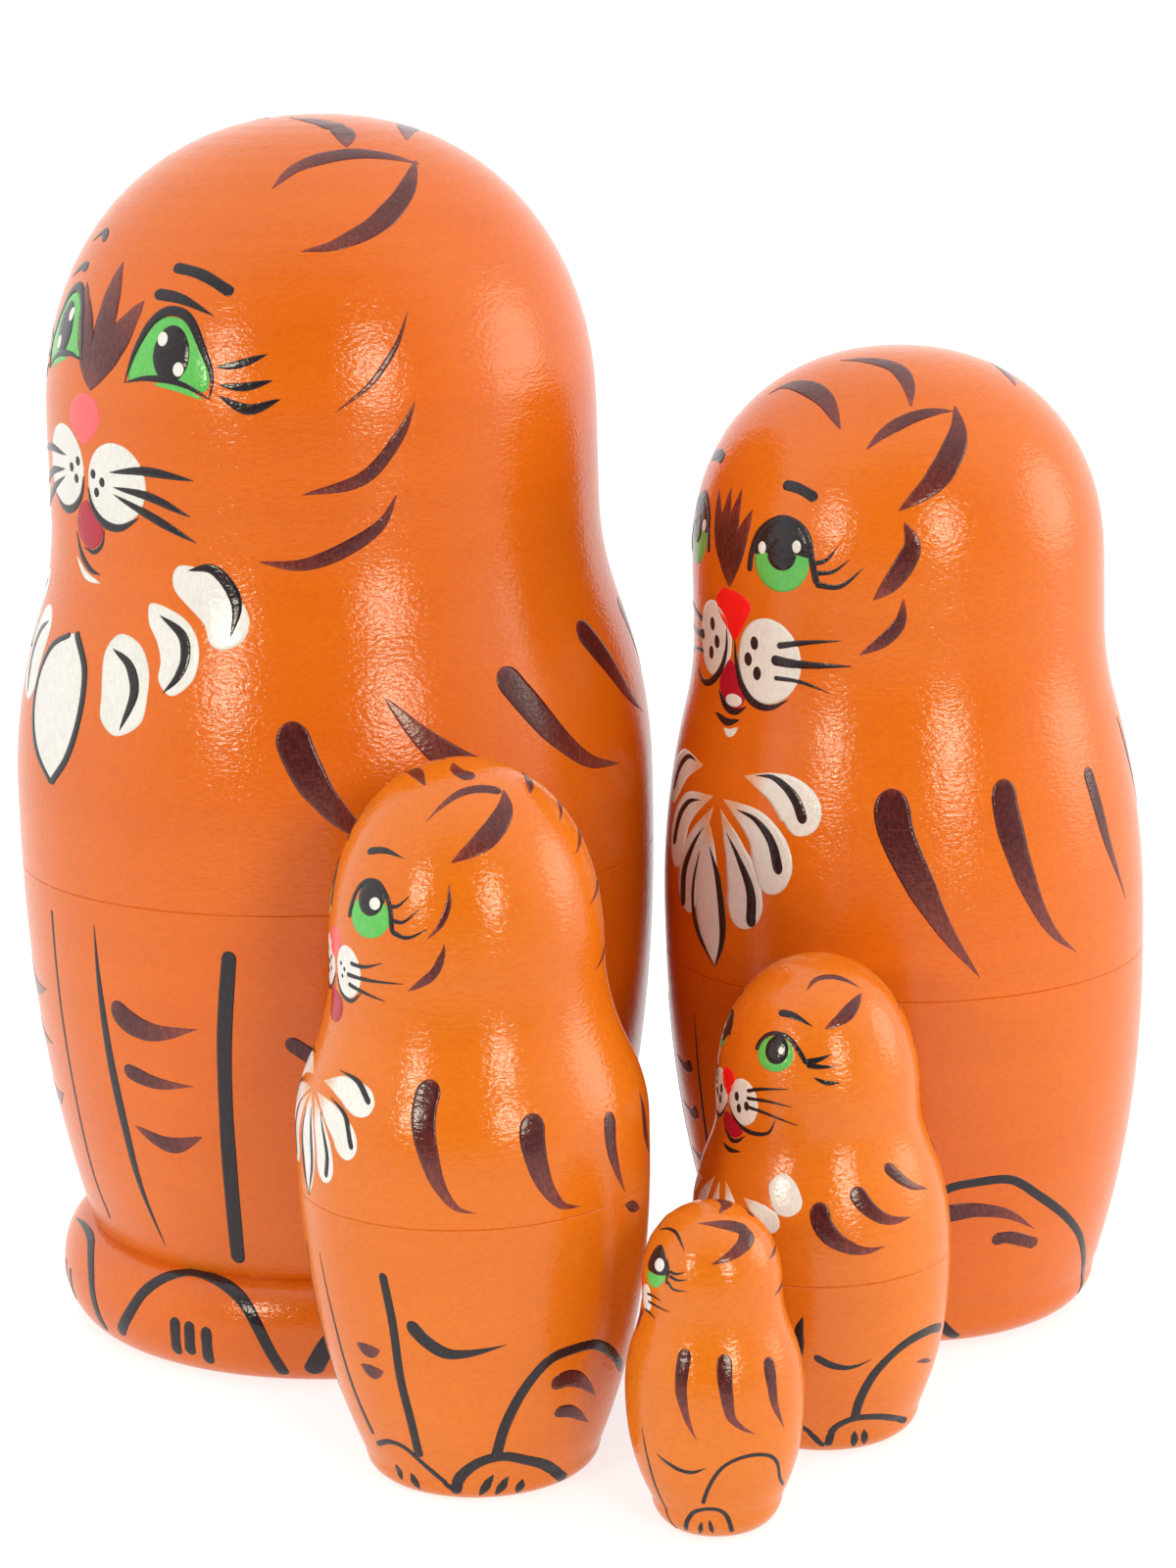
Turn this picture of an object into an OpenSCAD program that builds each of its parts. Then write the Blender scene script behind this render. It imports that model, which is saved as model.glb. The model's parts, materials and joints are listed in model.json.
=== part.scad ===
// Five turned wooden nesting dolls, taken apart and stood side by side on a table.
// Dolls 1 to 4 are hollow and part at a seam; each holds the next one. Doll 5 is solid.
// Millimetres, +Z up. The origin is the middle of the foot of doll 1, and doll 1 faces -Y.

/* [Doll 1] */
// Height of doll 1, from the table to the crown
d1_height = 175; // [168:0.5:182]
// Diameter of the flat foot of doll 1
d1_foot = 76; // [70:0.5:80]
// Diameter of the base ring of doll 1
d1_ring = 86.5; // [82:0.5:92]
// Height of the widest line of the base ring of doll 1
d1_ring_z = 7.5; // [5:0.5:10]
// Diameter at the bottom of the groove above the base ring of doll 1
d1_groove = 77.5; // [72:0.5:81]
// Height of the groove above the base ring of doll 1
d1_groove_z = 14.5; // [12:0.5:18]
// Diameter of the belly of doll 1
d1_belly = 93; // [86:0.5:100]
// Height of the widest line of the belly of doll 1
d1_belly_z = 79; // [72:0.5:86]
// Rise from the belly of doll 1 to where its shoulder turns from bulging to hollow
d1_shoulder_rise = 25; // [15:0.5:32]
// Diameter of the neck of doll 1
d1_neck = 79.5; // [74:0.5:84]
// Rise from there to the neck of doll 1
d1_neck_rise = 14.5; // [8:0.5:20]
// Diameter of the head of doll 1
d1_head = 79.5; // [74:0.5:86]
// Rise from the neck of doll 1 to where the dome of its head starts
d1_face = 13.5; // [6:0.5:20]
// Height of the seam of doll 1
d1_seam_z = 68.5; // [60:0.5:76]
// Thickness of the wall of doll 1
d1_wall = 6; // [5:0.5:7]
// Thickness of the floor of doll 1
d1_floor = 16; // [14:0.5:19]
// Thickness of the crown of doll 1
d1_crown = 9; // [6:0.5:14]
// Height of the spigot of doll 1 above its seam
d1_spigot = 10; // [7:0.5:13]
// Thickness of the socket wall of doll 1 at its seam
d1_lip = 3; // [2:0.25:4]

/* [Doll 2] */
// Height of doll 2, from the table to the crown
d2_height = 140; // [133:0.5:146]
// Diameter at the foot of doll 2, before its edge is rounded
d2_foot = 50.5; // [46:0.5:54]
// Radius of the rounded edge of the foot of doll 2
d2_foot_round = 5.5; // [3:0.5:9]
// Diameter of the belly of doll 2
d2_belly = 69.5; // [64:0.5:75]
// Height of the widest line of the belly of doll 2
d2_belly_z = 59.5; // [54:0.5:66]
// Rise from the belly of doll 2 to where its shoulder turns from bulging to hollow
d2_shoulder_rise = 29.5; // [20:0.5:36]
// Diameter of the neck of doll 2
d2_neck = 59; // [55:0.5:63]
// Rise from there to the neck of doll 2
d2_neck_rise = 11; // [6:0.5:16]
// Diameter of the head of doll 2
d2_head = 59; // [55:0.5:64]
// Rise from the neck of doll 2 to where the dome of its head starts
d2_face = 10; // [4:0.5:14]
// Height of the seam of doll 2
d2_seam_z = 53; // [48:0.5:59]
// Thickness of the wall of doll 2
d2_wall = 5; // [4:0.5:6]
// Thickness of the floor of doll 2
d2_floor = 8; // [6:0.5:11]
// Thickness of the crown of doll 2
d2_crown = 8; // [5:0.5:12]
// Height of the spigot of doll 2 above its seam
d2_spigot = 8; // [6:0.5:11]
// Thickness of the socket wall of doll 2 at its seam
d2_lip = 2.5; // [1.75:0.25:3.25]

/* [Doll 3] */
// Height of doll 3, from the table to the crown
d3_height = 94; // [90:0.5:99]
// Diameter at the foot of doll 3, before its edge is rounded
d3_foot = 28.5; // [27:0.5:32]
// Radius of the rounded edge of the foot of doll 3
d3_foot_round = 3; // [2:0.5:5]
// Diameter of the belly of doll 3
d3_belly = 46; // [44:0.5:49]
// Height of the widest line of the belly of doll 3
d3_belly_z = 46.5; // [42:0.5:50]
// Rise from the belly of doll 3 to where its shoulder turns from bulging to hollow
d3_shoulder_rise = 8.5; // [6:0.5:14]
// Diameter of the neck of doll 3
d3_neck = 35.5; // [33:0.5:38]
// Rise from there to the neck of doll 3
d3_neck_rise = 13.5; // [8:0.5:18]
// Diameter of the head of doll 3
d3_head = 35.5; // [33:0.5:38]
// Rise from the neck of doll 3 to where the dome of its head starts
d3_face = 1.5; // [0.5:0.5:6]
// Height of the seam of doll 3
d3_seam_z = 39; // [36:0.5:42]
// Thickness of the wall of doll 3
d3_wall = 4; // [3:0.25:4.5]
// Thickness of the floor of doll 3
d3_floor = 6; // [5:0.5:8]
// Thickness of the crown of doll 3
d3_crown = 6; // [4:0.5:9]
// Height of the spigot of doll 3 above its seam
d3_spigot = 6; // [4:0.5:8]
// Thickness of the socket wall of doll 3 at its seam
d3_lip = 2; // [1.5:0.25:2.5]

/* [Doll 4] */
// Height of doll 4, from the table to the crown
d4_height = 64.5; // [61:0.5:68]
// Diameter at the foot of doll 4, before its edge is rounded
d4_foot = 22; // [20:0.5:24]
// Radius of the rounded edge of the foot of doll 4
d4_foot_round = 3.5; // [2:0.5:5]
// Diameter of the belly of doll 4
d4_belly = 34.5; // [32:0.5:36]
// Height of the widest line of the belly of doll 4
d4_belly_z = 27; // [24:0.5:30]
// Rise from the belly of doll 4 to where its shoulder turns from bulging to hollow
d4_shoulder_rise = 12.5; // [8:0.5:16]
// Diameter of the neck of doll 4
d4_neck = 27; // [25:0.5:29]
// Rise from there to the neck of doll 4
d4_neck_rise = 5; // [3:0.5:9]
// Diameter of the head of doll 4
d4_head = 27; // [25:0.5:29]
// Rise from the neck of doll 4 to where the dome of its head starts
d4_face = 1.5; // [0.5:0.5:4]
// Height of the seam of doll 4
d4_seam_z = 25; // [22:0.5:28]
// Thickness of the wall of doll 4
d4_wall = 3; // [2.5:0.25:3.5]
// Thickness of the floor of doll 4
d4_floor = 5; // [4:0.5:7]
// Thickness of the crown of doll 4
d4_crown = 5; // [3:0.5:7]
// Height of the spigot of doll 4 above its seam
d4_spigot = 5; // [3.5:0.5:6.5]
// Thickness of the socket wall of doll 4 at its seam
d4_lip = 1.5; // [1.25:0.25:2]

/* [Doll 5] */
// Height of doll 5, from the table to the crown
d5_height = 41.5; // [39:0.5:44]
// Diameter at the foot of doll 5, before its edge is rounded
d5_foot = 11.5; // [10:0.5:13]
// Radius of the rounded edge of the foot of doll 5
d5_foot_round = 4; // [2:0.5:5]
// Diameter of the belly of doll 5
d5_belly = 22.5; // [20:0.5:24]
// Height of the widest line of the belly of doll 5
d5_belly_z = 18; // [16:0.5:20]
// Rise from the belly of doll 5 to where its shoulder turns from bulging to hollow
d5_shoulder_rise = 7; // [4:0.5:9]
// Diameter of the neck of doll 5
d5_neck = 17.5; // [16:0.5:19]
// Rise from there to the neck of doll 5
d5_neck_rise = 5.5; // [3:0.5:8]
// Diameter of the head of doll 5
d5_head = 17.5; // [16:0.5:19]
// Rise from the neck of doll 5 to where the dome of its head starts
d5_face = 1; // [0.5:0.5:3]

/* [Fit] */
// Gap all round between a spigot and its socket
fit_gap = 0.08; // [0.02:0.01:0.1]
// Gap between the end of a spigot and the ledge above it
end_gap = 0.8; // [0.4:0.1:1.5]
// Size of the broken edges at a seam and at a spigot's end
edge_break = 0.15; // [0.1:0.05:0.5]

/* [Outline] */
// Fullness of the lower body: 2 is a plain curve, and more bulges out nearer the foot
body_fullness = 2.45; // [2:0.05:3]
// Fullness of the dome of the head: 2 is an ellipse, and more is squarer
dome_fullness = 2.15; // [2:0.05:2.6]

/* [Places on the table] */
// Angle of doll 2 from doll 1, in degrees from +X towards +Y
angle_2 = 46; // [36:1:56]
// Gap between the bellies of dolls 1 and 2
gap_2 = 1.5; // [1:0.5:20]
// Angle of doll 3 from doll 1, in degrees from +X towards +Y
angle_3 = -21.5; // [-32:0.5:-15]
// Gap between the bellies of dolls 1 and 3
gap_3 = 1.5; // [1:0.5:6]
// Angle of doll 4 from doll 2, in degrees from +X towards +Y
angle_4 = -56; // [-60:1:-40]
// Gap between the bellies of dolls 2 and 4
gap_4 = 1.5; // [1:0.5:5]
// Angle of doll 5 from doll 3, in degrees from +X towards +Y
angle_5 = 15; // [-30:1:20]
// Gap between the bellies of dolls 3 and 5
gap_5 = 3; // [1:0.5:8]

/* [Hidden] */

lacquer = [0.90, 0.42, 0.10];
side_steps = 26;
dome_steps = 18;
edge_steps = 6;
cavity_steps = 12;

// The outline of a doll above its foot: radii, heights and rises, from the foot up.
function shape(height, base_r, base_z, belly_r, belly_z, shoulder_rise, neck_r, neck_rise, head_r, face) =
    [height, base_r, base_z, belly_r, belly_z, shoulder_rise, neck_r, neck_rise, head_r, face];
function height(s) = s[0];
function base_r(s) = s[1];
function base_z(s) = s[2];
function belly_r(s) = s[3];
function belly_z(s) = s[4];
function shoulder_rise(s) = s[5];
function neck_r(s) = s[6];
function neck_rise(s) = s[7];
function head_r(s) = s[8];
function face(s) = s[9];
function shoulder_z(s) = belly_z(s) + shoulder_rise(s);
function neck_z(s) = shoulder_z(s) + neck_rise(s);
function head_z(s) = neck_z(s) + face(s);

// How a doll is hollowed and joined.
function hollow(seam_z, wall, floor, crown, spigot, lip) = [seam_z, wall, floor, crown, spigot, lip];
function seam_z(h) = h[0];
function wall(h) = h[1];
function floor_z(h) = h[2];
function crown(h) = h[3];
function spigot(h) = h[4];
function lip(h) = h[5];

shape_1 = shape(
    d1_height, d1_groove / 2, d1_groove_z, d1_belly / 2, d1_belly_z,
    d1_shoulder_rise, d1_neck / 2, d1_neck_rise, d1_head / 2, d1_face
);
shape_2 = shape(
    d2_height, d2_foot / 2, 0, d2_belly / 2, d2_belly_z,
    d2_shoulder_rise, d2_neck / 2, d2_neck_rise, d2_head / 2, d2_face
);
shape_3 = shape(
    d3_height, d3_foot / 2, 0, d3_belly / 2, d3_belly_z,
    d3_shoulder_rise, d3_neck / 2, d3_neck_rise, d3_head / 2, d3_face
);
shape_4 = shape(
    d4_height, d4_foot / 2, 0, d4_belly / 2, d4_belly_z,
    d4_shoulder_rise, d4_neck / 2, d4_neck_rise, d4_head / 2, d4_face
);
shape_5 = shape(
    d5_height, d5_foot / 2, 0, d5_belly / 2, d5_belly_z,
    d5_shoulder_rise, d5_neck / 2, d5_neck_rise, d5_head / 2, d5_face
);

hollow_1 = hollow(d1_seam_z, d1_wall, d1_floor, d1_crown, d1_spigot, d1_lip);
hollow_2 = hollow(d2_seam_z, d2_wall, d2_floor, d2_crown, d2_spigot, d2_lip);
hollow_3 = hollow(d3_seam_z, d3_wall, d3_floor, d3_crown, d3_spigot, d3_lip);
hollow_4 = hollow(d4_seam_z, d4_wall, d4_floor, d4_crown, d4_spigot, d4_lip);

// A doll stands a gap away from its neighbour's belly, at an angle from it.
function beside(place, neighbour, s, gap, angle) =
    place + (belly_r(neighbour) + belly_r(s) + gap) * [cos(angle), sin(angle)];
place_1 = [0, 0];
place_2 = beside(place_1, shape_1, shape_2, gap_2, angle_2);
place_3 = beside(place_1, shape_1, shape_3, gap_3, angle_3);
place_4 = beside(place_2, shape_2, shape_4, gap_4, angle_4);
place_5 = beside(place_3, shape_3, shape_5, gap_5, angle_5);

// Radius of the lower body, which swells from the base to the belly.
function body_radius(s, z) =
    let (drop = (belly_z(s) - z) / (belly_z(s) - base_z(s)))
    base_r(s) + (belly_r(s) - base_r(s)) * (1 - pow(drop, body_fullness));

// Radius of the shoulder, which bulges below shoulder_z and is hollow above it, with one slope there.
function shoulder_radius(s, z) =
    let (fall = belly_r(s) - neck_r(s))
    let (reach = shoulder_rise(s) + neck_rise(s))
    z < shoulder_z(s)
        ? belly_r(s) - fall * pow(z - belly_z(s), 2) / (reach * shoulder_rise(s))
        : neck_r(s) + fall * pow(neck_z(s) - z, 2) / (reach * neck_rise(s));

// Radius of the face, an even blend from the neck to the head.
function face_radius(s, z) =
    let (t = (z - neck_z(s)) / face(s))
    neck_r(s) + (head_r(s) - neck_r(s)) * t * t * (3 - 2 * t);

function radius(s, z) =
    z < belly_z(s) ? body_radius(s, z) : z < neck_z(s) ? shoulder_radius(s, z) : face_radius(s, z);

function side(s, from, to, steps) =
    [for (i = [0 : steps]) let (z = from + (to - from) * i / steps) [radius(s, z), z]];

// The dome of the head, from just above head_z to the crown on the axis.
function dome(s, steps) = [
    for (i = [1 : steps])
        let (turn = 90 * i / steps)
        let (power = 2 / dome_fullness)
        let (rise = height(s) - head_z(s))
        [head_r(s) * pow(cos(turn), power), head_z(s) + rise * pow(sin(turn), power)]
];

// A quarter of an ellipse that leaves the table at radius r and swells by out over a rise.
// Its last point is left to what follows it.
function swell(r, out, rise) = [
    for (i = [0 : edge_steps - 1])
        let (turn = 90 * i / edge_steps)
        [r + out * sin(turn), rise * (1 - cos(turn))]
];

// A quarter of an ellipse that closes in from radius r + out at height z to r.
// Its last point is left to what follows it.
function close_in(r, out, z, rise) = [
    for (i = [0 : edge_steps - 1])
        let (turn = 90 * i / edge_steps)
        [r + out * cos(turn), z + rise * sin(turn)]
];

function round_foot(s, round) = swell(radius(s, round) - round, round, round);

// The base ring of doll 1, from the table to just below the groove.
ring_foot = concat(
    swell(d1_foot / 2, (d1_ring - d1_foot) / 2, d1_ring_z),
    close_in(d1_groove / 2, (d1_ring - d1_groove) / 2, d1_ring_z, d1_groove_z - d1_ring_z)
);

// The cavity has the doll's own outline, set in by the wall and lowered by the crown.
function cavity(s, h) = shape(
    height(s) - crown(h), base_r(s) - wall(h), base_z(s), belly_r(s) - wall(h), belly_z(s),
    shoulder_rise(s), neck_r(s) - wall(h), neck_rise(s), head_r(s) - wall(h), face(s)
);

function seam_r(s, h) = radius(s, seam_z(h));
function spigot_r(s, h) = seam_r(s, h) - lip(h);
function socket_r(s, h) = spigot_r(s, h) + fit_gap;
function spigot_end_z(h) = seam_z(h) + spigot(h);
function ledge_z(h) = spigot_end_z(h) + end_gap;
function reversed(points) = [for (i = [len(points) - 1 : -1 : 0]) points[i]];

// Section of a lower half: foot, outside, rim, spigot, then the cavity down to its floor.
function lower_section(s, h, foot, side_from) = concat(
    [[0, 0]],
    foot,
    side(s, side_from, seam_z(h) - edge_break, side_steps),
    [
        [seam_r(s, h) - edge_break, seam_z(h)],
        [spigot_r(s, h), seam_z(h)],
        [spigot_r(s, h), spigot_end_z(h) - edge_break],
        [spigot_r(s, h) - edge_break, spigot_end_z(h)],
        [seam_r(s, h) - wall(h), spigot_end_z(h)]
    ],
    reversed(side(cavity(s, h), floor_z(h), seam_z(h), cavity_steps)),
    [[0, floor_z(h)]]
);

// Section of an upper half: rim, outside, crown, then the cavity down to the ledge and the socket.
function upper_section(s, h) = concat(
    [
        [socket_r(s, h), seam_z(h)],
        [seam_r(s, h) - edge_break, seam_z(h)]
    ],
    side(s, seam_z(h) + edge_break, head_z(s), side_steps),
    dome(s, dome_steps),
    reversed(dome(cavity(s, h), cavity_steps)),
    reversed(side(cavity(s, h), ledge_z(h), head_z(s), cavity_steps)),
    [[socket_r(s, h), ledge_z(h)]]
);

// Section of the solid doll.
function solid_section(s, foot, side_from) = concat(
    [[0, 0]],
    foot,
    side(s, side_from, head_z(s), side_steps),
    dome(s, dome_steps)
);

module turned(place, section) {
    color(lacquer)
        translate([place[0], place[1], 0])
            rotate_extrude()
                polygon(section);
}

module doll_1_bottom() {
    turned(place_1, lower_section(shape_1, hollow_1, ring_foot, d1_groove_z));
}

module doll_1_top() {
    turned(place_1, upper_section(shape_1, hollow_1));
}

module doll_2_bottom() {
    turned(place_2, lower_section(shape_2, hollow_2, round_foot(shape_2, d2_foot_round), d2_foot_round));
}

module doll_2_top() {
    turned(place_2, upper_section(shape_2, hollow_2));
}

module doll_3_bottom() {
    turned(place_3, lower_section(shape_3, hollow_3, round_foot(shape_3, d3_foot_round), d3_foot_round));
}

module doll_3_top() {
    turned(place_3, upper_section(shape_3, hollow_3));
}

module doll_4_bottom() {
    turned(place_4, lower_section(shape_4, hollow_4, round_foot(shape_4, d4_foot_round), d4_foot_round));
}

module doll_4_top() {
    turned(place_4, upper_section(shape_4, hollow_4));
}

module doll_5() {
    turned(place_5, solid_section(shape_5, round_foot(shape_5, d5_foot_round), d5_foot_round));
}

doll_1_bottom();
doll_1_top();
doll_2_bottom();
doll_2_top();
doll_3_bottom();
doll_3_top();
doll_4_bottom();
doll_4_top();
doll_5();
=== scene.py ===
"""Five turned wooden nesting dolls painted as striped cats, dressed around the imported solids."""

import json
import math
import random

import bmesh
import bpy
import numpy as np
from mathutils import Matrix, Vector


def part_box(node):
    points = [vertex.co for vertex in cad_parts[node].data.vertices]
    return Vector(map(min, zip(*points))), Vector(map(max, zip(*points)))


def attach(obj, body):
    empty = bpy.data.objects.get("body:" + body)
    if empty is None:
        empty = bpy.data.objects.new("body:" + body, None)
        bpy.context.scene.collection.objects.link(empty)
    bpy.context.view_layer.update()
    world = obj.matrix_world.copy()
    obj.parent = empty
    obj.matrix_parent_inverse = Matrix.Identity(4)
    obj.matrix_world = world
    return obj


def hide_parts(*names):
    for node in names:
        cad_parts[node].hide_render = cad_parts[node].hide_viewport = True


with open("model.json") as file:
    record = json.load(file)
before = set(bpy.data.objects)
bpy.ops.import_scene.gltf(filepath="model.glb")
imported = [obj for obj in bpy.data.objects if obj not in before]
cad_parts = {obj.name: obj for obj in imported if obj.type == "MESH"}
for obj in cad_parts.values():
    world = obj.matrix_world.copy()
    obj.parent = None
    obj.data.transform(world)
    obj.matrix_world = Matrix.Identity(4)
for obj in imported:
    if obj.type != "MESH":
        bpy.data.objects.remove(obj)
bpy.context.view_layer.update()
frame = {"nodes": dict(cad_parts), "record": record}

MM = 0.001
# Lengths that agree to this many decimals of a metre, or differ by less than this, are the same.
DECIMALS = 6
SAME = 1e-6
# A point nearer to the axis than this lies on it. The least radius is one that can still divide.
ON_AXIS = 1e-5
LEAST_RADIUS = 1e-9
# Seam height of a doll without one, below all of it.
NO_SEAM = -1

# Which way each doll faces, in degrees from -Y towards +X.
FACING = {1: 0, 2: -5, 3: -16.5, 4: -12.5, 5: -34.5}

# The camera, read from the photograph, which is taken as 1200 by 1600 pixels.
IMAGE_W, IMAGE_H = 1200, 1600
FOCAL_PX = 3665
MIDDLE_PX = (597.2, 579.5)
CAMERA_PLACE = (0.4296, -0.2939, 0.1867)
CAMERA_AZIMUTH = 51.5
CAMERA_PITCH = 8.62
CAMERA_ROLL = -1.63

# The studio: the middle of what it lights, and the bearing of its front, which is fixed in the room.
STUDIO_MIDDLE = Vector((0.055, 0.01, 0.07))
STUDIO_FRONT = CAMERA_AZIMUTH
# Lamps: degrees round from the front and up from the floor, diameter in metres and power in watts.
LAMPS = {
    "left_lamp": (-40, 20, 0.18, 2.1),
    "right_lamp": (24, 18, 0.26, 3.0),
    "side_lamp": (95, 15, 0.5, 2.2),
}
LAMP_DISTANCE = 0.9
LAMP_COLOUR = (1.0, 0.92, 0.74)
# Glow behind the dolls and in front of them, and where it changes: metres on the floor, cosines all round.
FLOOR_GLOW, FLOOR_FADE = (0.75, 0.15), (0.12, 0.5)
SURROUND_GLOW, SURROUND_FADE = (1.34, 0.06), (0.2, 0.92)
# Half the side of the floor, and its grey.
FLOOR_HALF = 4
FLOOR_GREY = 0.38

# Turned bodies: segments round the axis, spacing of rings and of outline rows, and the bend of a corner.
SEGMENTS = 160
RING_STEP = 0.8 * MM
OUTLINE_STEP = 0.2 * MM
CORNER = math.radians(25)

# Orange stain of each doll; the small ones are a yellower orange.
STAIN = {
    1: (0.69, 0.144, 0.006),
    2: (0.71, 0.158, 0.008),
    3: (0.70, 0.174, 0.009),
    4: (0.71, 0.182, 0.012),
    5: (0.68, 0.176, 0.010),
}
# Tint of the stain where most of it went in, and a tint that changes nothing.
DEEP_TINT = (0.94, 0.86, 0.7)
NO_TINT = (1, 1, 1)

# Clear coat over stain and paint, and the pits in it per metre round the dolls and up them.
COAT = 0.8
COAT_ROUGHNESS = 0.15
COAT_IOR = 1.5
PITS_ROUND, PITS_UP = 1100, 2300

# Paint: how far a first coat and its edge stand off the wood, the step to each later coat, and how deep the
# underside lies.
PAINT_LIFT = 0.05 * MM
EDGE_LIFT = PAINT_LIFT / 4
PAINT_COAT = 0.04 * MM
PAINT_SUNK = 0.05 * MM
# Strokes: the least number of rows, the length that adds one, the columns across, and the least width.
STROKE_ROWS = 24
STROKE_STEP = 1.2 * MM
STROKE_COLUMNS = np.array([-1, -0.8, -0.3, 0.3, 0.8, 1])
LEAST_WIDTH = 0.06 * MM
# An unsteady hand's share of the width, at a few points, and the share of the paint lost by the end.
WOBBLE = (0.95, 1.05)
WOBBLE_POINTS = 9
DRYING = 0.6
# Patches: rings inside the outline, as shares of it, and the points round each; points that make an oval.
PATCH_RINGS = (1, 0.93, 0.62, 0.3)
PATCH_POINTS = 48
OVAL_POINTS = 12

DARK, BROWN, WHITE = "dark_paint", "brown_paint", "white_paint"
GREEN, RED, PINK, CRIMSON = "green_paint", "red_paint", "pink_paint", "crimson_paint"
# Each paint's colour where thin and where thick, and its tint at a dry end and at a full load of the brush.
PAINTS = {
    DARK: dict(thin=(0.026, 0.015, 0.017), thick=(0.013, 0.010, 0.013)),
    BROWN: dict(thin=(0.28, 0.056, 0.036), thick=(0.15, 0.027, 0.022), full=(0.39, 0.37, 0.48)),
    WHITE: dict(thin=(0.68, 0.66, 0.62), thick=(0.76, 0.75, 0.72), dry=(0.97, 0.6, 0.4), full_at=0.3),
    GREEN: dict(thin=(0.09, 0.43, 0.08), thick=(0.12, 0.50, 0.10)),
    RED: dict(thin=(0.84, 0.014, 0.016), thick=(0.92, 0.010, 0.012)),
    PINK: dict(thin=(0.90, 0.13, 0.13), thick=(0.94, 0.11, 0.12)),
    CRIMSON: dict(thin=(0.47, 0.009, 0.032), thick=(0.40, 0.007, 0.025)),
}
DRY_AT = 0.1  # the load at a dry end


# Outlines, taken from the frame

def section(part, axis):
    """Outline of a turned solid from axis to axis, as (radius, height) rows: edges in one half plane."""
    mesh = frame["nodes"][part].data
    place = np.array([v.co for v in mesh.vertices]) - np.array(axis)
    in_plane = (np.abs(place[:, 1]) < SAME) & (place[:, 0] > -SAME)
    keys = [tuple(row) for row in np.round(place[:, [0, 2]], DECIMALS)]
    links = {}
    for edge in mesh.edges:
        a, b = edge.vertices
        if in_plane[a] and in_plane[b] and keys[a] != keys[b]:
            links.setdefault(keys[a], set()).add(keys[b])
            links.setdefault(keys[b], set()).add(keys[a])
    ends = sorted((k for k, near in links.items() if len(near) == 1), key=lambda k: k[1])
    chain = [ends[-1] if part.endswith("top") else ends[0]]
    seen = set(chain)
    while True:
        onward = [k for k in links[chain[-1]] if k not in seen]
        if not onward:
            break
        chain.append(onward[0])
        seen.add(onward[0])
    on_axis = [(0.0, z) for r, z in (chain[0], chain[-1])]
    return np.array(on_axis[:1] + [k for k in chain if k[0] > ON_AXIS] + on_axis[1:])


def smooth_runs(rows):
    """Splits an outline at its sharp corners, so that each run can be drawn as one curve."""
    step = np.diff(rows, axis=0)
    way = np.arctan2(step[:, 1], step[:, 0])
    bend = np.abs((np.diff(way) + math.pi) % math.tau - math.pi)
    cuts = [0] + [i + 1 for i in np.flatnonzero(bend > CORNER)] + [len(rows) - 1]
    return [rows[a:b + 1] for a, b in zip(cuts, cuts[1:])]


def reach_along(points):
    """Length of a chain of points up to each of them."""
    return np.concatenate([[0], np.cumsum(np.linalg.norm(np.diff(points, axis=0), axis=1))])


def curve_through(points, shares):
    """A smooth curve through the points, at places given as shares of its length."""
    points = np.asarray(points, float)
    reach = reach_along(points)
    slope = np.empty_like(points)
    slope[1:-1] = (points[2:] - points[:-2]) / (reach[2:] - reach[:-2])[:, None]
    slope[0] = (points[1] - points[0]) / (reach[1] - reach[0])
    slope[-1] = (points[-1] - points[-2]) / (reach[-1] - reach[-2])
    at = np.asarray(shares) * reach[-1]
    left = np.clip(np.searchsorted(reach, at, side="right") - 1, 0, len(points) - 2)
    gap = (reach[left + 1] - reach[left])[:, None]
    t = (at - reach[left])[:, None] / gap
    return (
        (1 + 2 * t) * (1 - t) ** 2 * points[left]
        + t * (1 - t) ** 2 * gap * slope[left]
        + t * t * (3 - 2 * t) * points[left + 1]
        + t * t * (t - 1) * gap * slope[left + 1]
    )


def fine_run(run, step):
    """One run of an outline, sampled evenly; a curved run meets the axis at a right angle."""
    if len(run) == 2:
        return run
    before = run[1:2] * (-1, 1) if run[0][0] < SAME else run[:0]
    after = run[-2:-1] * (-1, 1) if run[-1][0] < SAME else run[:0]
    whole = np.concatenate([before, run, after])
    reach = reach_along(whole)
    first, last = reach[len(before)], reach[len(reach) - 1 - len(after)]
    count = max(2, round((last - first) / step))
    fine = curve_through(whole, np.linspace(first, last, count + 1) / reach[-1])
    fine[0], fine[-1] = run[0], run[-1]
    return np.maximum(fine, 0)


# Materials

def add_node(tree, kind, **inputs):
    """A new node with some inputs set; an underscore stands for a space in an input's name."""
    made = tree.nodes.new(kind)
    for name, value in inputs.items():
        made.inputs[name.replace("_", " ")].default_value = value
    return made


def stretched(tree, round_it, up_it):
    """Object coordinates times a number of features per metre round the dolls and another up them."""
    place = tree.nodes.new("ShaderNodeTexCoord")
    mapping = add_node(tree, "ShaderNodeMapping", Scale=(round_it, round_it, up_it))
    tree.links.new(place.outputs["Object"], mapping.inputs["Vector"])
    return mapping.outputs["Vector"]


def noise(tree, round_it, up_it, detail=3.0, roughness=0.5):
    """Noise with so many features per metre round the dolls and up them."""
    made = add_node(tree, "ShaderNodeTexNoise", Scale=1.0, Detail=detail, Roughness=roughness)
    tree.links.new(stretched(tree, round_it, up_it), made.inputs["Vector"])
    return made.outputs["Fac"]


def ramp(tree, source, low, high, low_at=0.3, high_at=0.7):
    """One colour up to a value of the source, another from a higher value on, and a blend in between."""
    made = tree.nodes.new("ShaderNodeValToRGB")
    for stop, colour, at in zip(made.color_ramp.elements, (low, high), (low_at, high_at)):
        stop.position = at
        stop.color = (*colour, 1)
    tree.links.new(source, made.inputs["Fac"])
    return made.outputs["Color"]


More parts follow.
